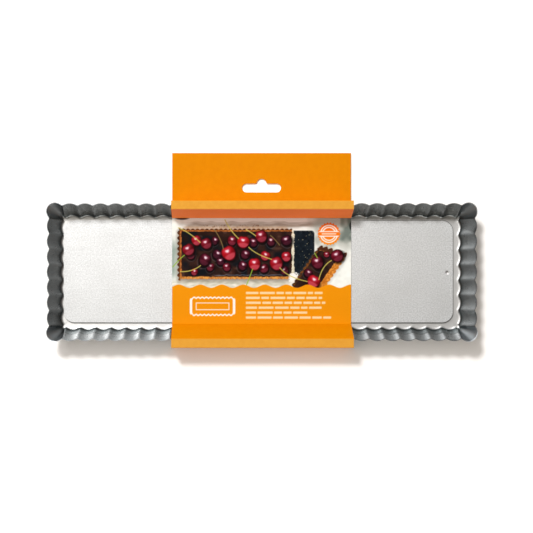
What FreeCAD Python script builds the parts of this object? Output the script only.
import FreeCAD, Part

import math
import os

import Sketcher

# A long fluted tart pan with a loose bottom, in a folded card sleeve with a hanging header.
# Millimetres. Z is up, X runs along the pan, and the origin is the middle of the pan on the
# surface that the sleeve's back lies on.

os.makedirs("parts", exist_ok=True)
doc = FreeCAD.newDocument("tart_pan")
Vector = FreeCAD.Vector

# The driving dimensions, kept in the document's spreadsheet under these names.
DIMENSIONS = {
    "SheetMetal": 0.5,
    "PanHeight": 25.0,
    "RimHalfLength": 175.0,
    "RimHalfWidth": 56.1,
    "RimFluteDepth": 1.8,
    "FootHalfLength": 166.8,
    "FootHalfWidth": 48.4,
    "FootFluteDepth": 2.0,
    "FlutePitch": 12.5,
    "LongSideFlutes": 26,
    "ShortSideFlutes": 7,
    "OpeningLength": 313.6,
    "OpeningWidth": 76.7,
    "OpeningCorner": 6.0,
    "PlateLength": 323.3,
    "PlateWidth": 85.5,
    "PlateThickness": 0.6,
    "PlateCorner": 9.0,
    "PlateHoleRadius": 1.4,
    "CardThickness": 0.5,
    "SleeveWidth": 148.5,
    "SlotLength": 32.3,
    "SlotHeight": 7.3,
    "SlotBumpRadius": 4.0,
    "LayerGap": 0.3,
}

# The plate lies a little off the ring's middle, as far as its play allows.
PLATE_X = -1.95
PLATE_Y = 0.65
HOLE_X = 154.8

SLEEVE_MIDDLE_X = 0.5
SLOT_MIDDLE_Y = 70.3

# Corner flutes: the outermost point of the big round lobe, at the rim and at the foot.
RIM_CORNER = Vector(173.05, 54.87, 0)
FOOT_CORNER = Vector(165.0, 46.55, 0)

# The folded card, seen along X as points (y, z) on the middle of its thickness, crease by crease.
BACK_FOLD = [
    (99.4, 0.25),
    (-61.5, 0.25),
    (-61.5, 26.4),
    (-53.5, 26.4),
]
FRONT_FOLD = [
    (-53.5, 26.4),
    (-42.8, 2.8),
    (45.6, 2.8),
    (51.2, 26.4),
    (57.9, 26.4),
    (57.9, 1.05),
    (99.4, 1.05),
]
# The card stops this far short of the opening crease on both sides, so that it can fold right over.
CREASE_FREE = 0.75


def driving_sheet():
    """The spreadsheet that holds the driving dimensions."""
    new_sheet = doc.addObject("Spreadsheet::Sheet", "Dimensions")
    for row, (name, value) in enumerate(DIMENSIONS.items(), start=1):
        new_sheet.set("A" + str(row), name)
        new_sheet.set("B" + str(row), str(value))
        new_sheet.setAlias("B" + str(row), name)
    doc.recompute()
    return new_sheet


sheet = driving_sheet()

# Heights of the stacked pieces: the card's back, the ring's foot and ledge, and the plate.
RING_FOOT = sheet.CardThickness + sheet.LayerGap
LEDGE_TOP = RING_FOOT + sheet.SheetMetal
RIM_TOP = RING_FOOT + sheet.PanHeight
PLATE_UNDERSIDE = LEDGE_TOP + 0.2


def plane_of(body, role):
    """One of the body's own origin planes."""
    for feature in body.Origin.OriginFeatures:
        if feature.Role == role:
            return feature
    raise ValueError(role)


def new_sketch(body, name, role):
    """An empty sketch on one of the body's origin planes."""
    sketch = body.newObject("Sketcher::SketchObject", name)
    sketch.AttachmentSupport = [(plane_of(body, role), "")]
    sketch.MapMode = "FlatFace"
    return sketch


def draw_polygon(sketch, corners):
    """Closed straight-sided outline through the corners."""
    for start, end in zip(corners, corners[1:] + corners[:1]):
        sketch.addGeometry(Part.LineSegment(Vector(*start, 0), Vector(*end, 0)), False)


def flutes(start, end, outward, count, depth):
    """Outward arcs side by side from one cusp to another."""
    step = (end - start) / count
    arcs = []
    for number in range(count):
        low = start + step * number
        high = start + step * (number + 1)
        crest = (low + high) / 2 + outward * depth
        arcs.append(Part.Arc(low, crest, high).toShape())
    return arcs


def fluted_outline(half_length, half_width, depth, corner, inset, height):
    """The closed fluted outline of one face of the wall at one height."""
    cusp_x = half_length - depth - inset
    cusp_y = half_width - depth - inset
    long_count = int(sheet.LongSideFlutes)
    short_count = int(sheet.ShortSideFlutes)
    run_x = long_count * sheet.FlutePitch / 2
    run_y = short_count * sheet.FlutePitch / 2
    reach = corner - Vector(inset, inset, 0) * math.sqrt(0.5)

    near_left = Vector(-run_x, -cusp_y, height)
    near_right = Vector(run_x, -cusp_y, height)
    right_near = Vector(cusp_x, -run_y, height)
    right_far = Vector(cusp_x, run_y, height)
    far_right = Vector(run_x, cusp_y, height)
    far_left = Vector(-run_x, cusp_y, height)
    left_far = Vector(-cusp_x, run_y, height)
    left_near = Vector(-cusp_x, -run_y, height)

    edges = flutes(near_left, near_right, Vector(0, -1, 0), long_count, depth)
    edges.append(Part.Arc(near_right, Vector(reach.x, -reach.y, height), right_near).toShape())
    edges += flutes(right_near, right_far, Vector(1, 0, 0), short_count, depth)
    edges.append(Part.Arc(right_far, Vector(reach.x, reach.y, height), far_right).toShape())
    edges += flutes(far_right, far_left, Vector(0, 1, 0), long_count, depth)
    edges.append(Part.Arc(far_left, Vector(-reach.x, reach.y, height), left_far).toShape())
    edges += flutes(left_far, left_near, Vector(-1, 0, 0), short_count, depth)
    edges.append(Part.Arc(left_near, Vector(-reach.x, -reach.y, height), near_left).toShape())
    return Part.Wire(edges)


def foot_outline(name, inset, height):
    """The wall's outline at its foot."""
    section = doc.addObject("Part::Feature", name)
    section.Shape = fluted_outline(
        sheet.FootHalfLength, sheet.FootHalfWidth, sheet.FootFluteDepth, FOOT_CORNER, inset, height
    )
    return section


def rim_outline(name, inset):
    """The wall's outline at its rim."""
    section = doc.addObject("Part::Feature", name)
    section.Shape = fluted_outline(
        sheet.RimHalfLength, sheet.RimHalfWidth, sheet.RimFluteDepth, RIM_CORNER, inset, RIM_TOP
    )
    return section


def flared_block(name, foot, rim):
    """The straight-ruled solid between a foot outline and a rim outline."""
    loft = doc.addObject("Part::Loft", name)
    loft.Sections = [foot, rim]
    loft.Solid = True
    loft.Ruled = True
    return loft


def upright_edges(shape):
    """The numbers of a shape's edges that stand along Z."""
    return [
        number
        for number, edge in enumerate(shape.Edges, start=1)
        if abs(edge.tangentAt(edge.FirstParameter).z) > 0.9
    ]


def make_fluted_ring():
    """The fluted wall with its inward ledge, open at the top and in the middle of its foot."""
    outside = flared_block(
        "WallOutside",
        foot_outline("OutsideFoot", 0, RING_FOOT),
        rim_outline("OutsideRim", 0),
    )
    inside = flared_block(
        "WallInside",
        foot_outline("InsideFoot", sheet.SheetMetal, LEDGE_TOP),
        rim_outline("InsideRim", sheet.SheetMetal),
    )
    hollowed = doc.addObject("Part::Cut", "HollowWall")
    hollowed.Base = outside
    hollowed.Tool = inside

    opening = doc.addObject("Part::Box", "LedgeOpening")
    opening.setExpression("Length", "Dimensions.OpeningLength")
    opening.setExpression("Width", "Dimensions.OpeningWidth")
    opening.setExpression("Height", "Dimensions.SheetMetal * 4")
    opening.setExpression("Placement.Base.x", "-Dimensions.OpeningLength / 2")
    opening.setExpression("Placement.Base.y", "-Dimensions.OpeningWidth / 2")
    doc.recompute()
    rounded = doc.addObject("Part::Fillet", "RoundedOpening")
    rounded.Base = opening
    radius = sheet.OpeningCorner
    rounded.Edges = [(number, radius, radius) for number in upright_edges(opening.Shape)]

    ring = doc.addObject("Part::Cut", "FlutedRing")
    ring.Label = "fluted_ring"
    ring.Base = hollowed
    ring.Tool = rounded
    return ring


def rectangle_sketch(body, name, length_cell, width_cell):
    """A sketch of a rectangle about the origin, with its two sizes bound to the sheet."""
    sketch = new_sketch(body, name, "XY_Plane")
    half_x = sheet.get(length_cell) / 2
    half_y = sheet.get(width_cell) / 2
    draw_polygon(sketch, [(-half_x, -half_y), (half_x, -half_y), (half_x, half_y), (-half_x, half_y)])
    for line in range(4):
        sketch.addConstraint(Sketcher.Constraint("Coincident", line, 2, (line + 1) % 4, 1))
    for line in (0, 2):
        sketch.addConstraint(Sketcher.Constraint("Horizontal", line))
    for line in (1, 3):
        sketch.addConstraint(Sketcher.Constraint("Vertical", line))
    sketch.addConstraint(Sketcher.Constraint("Symmetric", 0, 1, 1, 2, -1, 1))
    length = sketch.addConstraint(Sketcher.Constraint("DistanceX", 0, 1, 0, 2, 2 * half_x))
    width = sketch.addConstraint(Sketcher.Constraint("DistanceY", 1, 1, 1, 2, 2 * half_y))
    sketch.setExpression("Constraints[" + str(length) + "]", "Dimensions." + length_cell)
    sketch.setExpression("Constraints[" + str(width) + "]", "Dimensions." + width_cell)
    return sketch


def make_loose_bottom():
    """The flat plate with round corners that rests on the ledge, with one small hole."""
    body = doc.addObject("PartDesign::Body", "LooseBottomPlate")
    body.Label = "loose_bottom_plate"
    body.Placement = FreeCAD.Placement(
        Vector(PLATE_X, PLATE_Y, PLATE_UNDERSIDE), FreeCAD.Rotation()
    )
    pad = body.newObject("PartDesign::Pad", "PlateSheet")
    pad.Profile = rectangle_sketch(body, "PlateOutline", "PlateLength", "PlateWidth")
    pad.setExpression("Length", "Dimensions.PlateThickness")
    doc.recompute()

    corners = body.newObject("PartDesign::Fillet", "PlateCorners")
    corners.Base = (pad, ["Edge" + str(number) for number in upright_edges(pad.Shape)])
    corners.setExpression("Radius", "Dimensions.PlateCorner")
    doc.recompute()

    hole = new_sketch(body, "HoleOutline", "XY_Plane")
    middle = Vector(HOLE_X - PLATE_X, -PLATE_Y, 0)
    circle = hole.addGeometry(
        Part.Circle(middle, Vector(0, 0, 1), sheet.PlateHoleRadius), False
    )
    radius = hole.addConstraint(Sketcher.Constraint("Radius", circle, sheet.PlateHoleRadius))
    hole.setExpression("Constraints[" + str(radius) + "]", "Dimensions.PlateHoleRadius")
    pocket = body.newObject("PartDesign::Pocket", "SmallHole")
    pocket.Profile = hole
    pocket.Type = "ThroughAll"
    pocket.Midplane = True
    body.Tip = pocket
    return body


def offset_corner(fold, index, side):
    """The card's corner point at a crease, on one side of its thickness, cut at half the angle."""
    point = Vector(0, *fold[index])
    directions = []
    if index > 0:
        directions.append((point - Vector(0, *fold[index - 1])).normalize())
    if index < len(fold) - 1:
        directions.append((Vector(0, *fold[index + 1]) - point).normalize())
    normals = [Vector(0, -line.z, line.y) for line in directions]
    middle = normals[0]
    if len(normals) == 2:
        middle = (normals[0] + normals[1]).normalize()
    reach = sheet.CardThickness / 2 / middle.dot(normals[0])
    return point + middle * (reach * side)


def panel_corners(fold, index):
    """The four corners (y, z) of one flat panel between two creases of the folded card."""
    return [
        (corner.y, corner.z)
        for corner in (
            offset_corner(fold, index, -1),
            offset_corner(fold, index + 1, -1),
            offset_corner(fold, index + 1, 1),
            offset_corner(fold, index, 1),
        )
    ]


def make_panel(name, label, fold, index):
    """One flat panel of the sleeve, as wide as the sleeve."""
    body = doc.addObject("PartDesign::Body", name)
    body.Label = label
    body.Placement = FreeCAD.Placement(Vector(SLEEVE_MIDDLE_X, 0, 0), FreeCAD.Rotation())
    section = new_sketch(body, name + "Section", "YZ_Plane")
    draw_polygon(section, panel_corners(fold, index))
    pad = body.newObject("PartDesign::Pad", name + "Sheet")
    pad.Profile = section
    pad.Midplane = True
    pad.setExpression("Length", "Dimensions.SleeveWidth")
    body.Tip = pad
    return body


def cut_hang_slot(body):
    """The long hang slot with a round bump, cut through one layer of the header."""
    doc.recompute()
    sketch = new_sketch(body, body.Name + "SlotOutline", "XY_Plane")
    half_length = sheet.SlotLength / 2
    half_height = sheet.SlotHeight / 2
    bump = sheet.SlotBumpRadius
    straight = half_length - half_height
    top = SLOT_MIDDLE_Y + half_height
    bottom = SLOT_MIDDLE_Y - half_height

    def line(x_from, x_to, y):
        sketch.addGeometry(Part.LineSegment(Vector(x_from, y, 0), Vector(x_to, y, 0)), False)

    def arc(start, through, end):
        sketch.addGeometry(
            Part.Arc(Vector(*start, 0), Vector(*through, 0), Vector(*end, 0)), False
        )

    line(-straight, -bump, top)
    arc((-bump, top), (0, top + bump), (bump, top))
    line(bump, straight, top)
    arc((straight, top), (half_length, SLOT_MIDDLE_Y), (straight, bottom))
    line(straight, -straight, bottom)
    arc((-straight, bottom), (-half_length, SLOT_MIDDLE_Y), (-straight, top))
    pocket = body.newObject("PartDesign::Pocket", body.Name + "Slot")
    pocket.Profile = sketch
    pocket.Type = "ThroughAll"
    pocket.Midplane = True
    body.Tip = pocket
    return body


def freed(fold, index, toward):
    """The fold with one end drawn back from the opening crease along its own panel."""
    start = Vector(0, *fold[index])
    line = (Vector(0, *fold[toward]) - start).normalize()
    moved = start + line * CREASE_FREE
    changed = list(fold)
    changed[index] = (moved.y, moved.z)
    return changed


def make_sleeve():
    """The sleeve's flat panels: the back part under the pan and the front part that opens."""
    back = freed(BACK_FOLD, 3, 2)
    front = freed(FRONT_FOLD, 0, 1)
    return [
        cut_hang_slot(make_panel("BackPanel", "sleeve_back_panel", back, 0)),
        make_panel("LowerWall", "sleeve_lower_wall", back, 1),
        make_panel("LowerRimStrip", "sleeve_lower_rim_strip", back, 2),
        make_panel("LowerSlope", "sleeve_lower_slope", front, 0),
        make_panel("FrontPanel", "sleeve_front_panel", front, 1),
        make_panel("UpperSlope", "sleeve_upper_slope", front, 2),
        make_panel("UpperRimStrip", "sleeve_upper_rim_strip", front, 3),
        make_panel("UpperWall", "sleeve_upper_wall", front, 4),
        cut_hang_slot(make_panel("HeaderFront", "sleeve_header_front", front, 5)),
    ]


pieces = [make_fluted_ring(), make_loose_bottom()] + make_sleeve()
doc.recompute()

for item in doc.Objects:
    if "Invalid" in item.State or "Error" in item.State:
        raise RuntimeError(item.Name + " did not build: " + str(item.State))
for piece in pieces:
    if piece.Shape.isNull() or not piece.Shape.isValid():
        raise RuntimeError(piece.Label + " has no valid shape")
    if len(piece.Shape.Solids) != 1:
        raise RuntimeError(piece.Label + " is not one solid")

for piece in pieces:
    piece.Shape.exportStep(os.path.join("parts", piece.Label + ".step"))
    box = piece.Shape.BoundBox
    print(piece.Label, round(piece.Shape.Volume, 1), "mm3")
    print("   x", round(box.XMin, 2), round(box.XMax, 2), "y", round(box.YMin, 2), round(box.YMax, 2))
    print("   z", round(box.ZMin, 2), round(box.ZMax, 2))
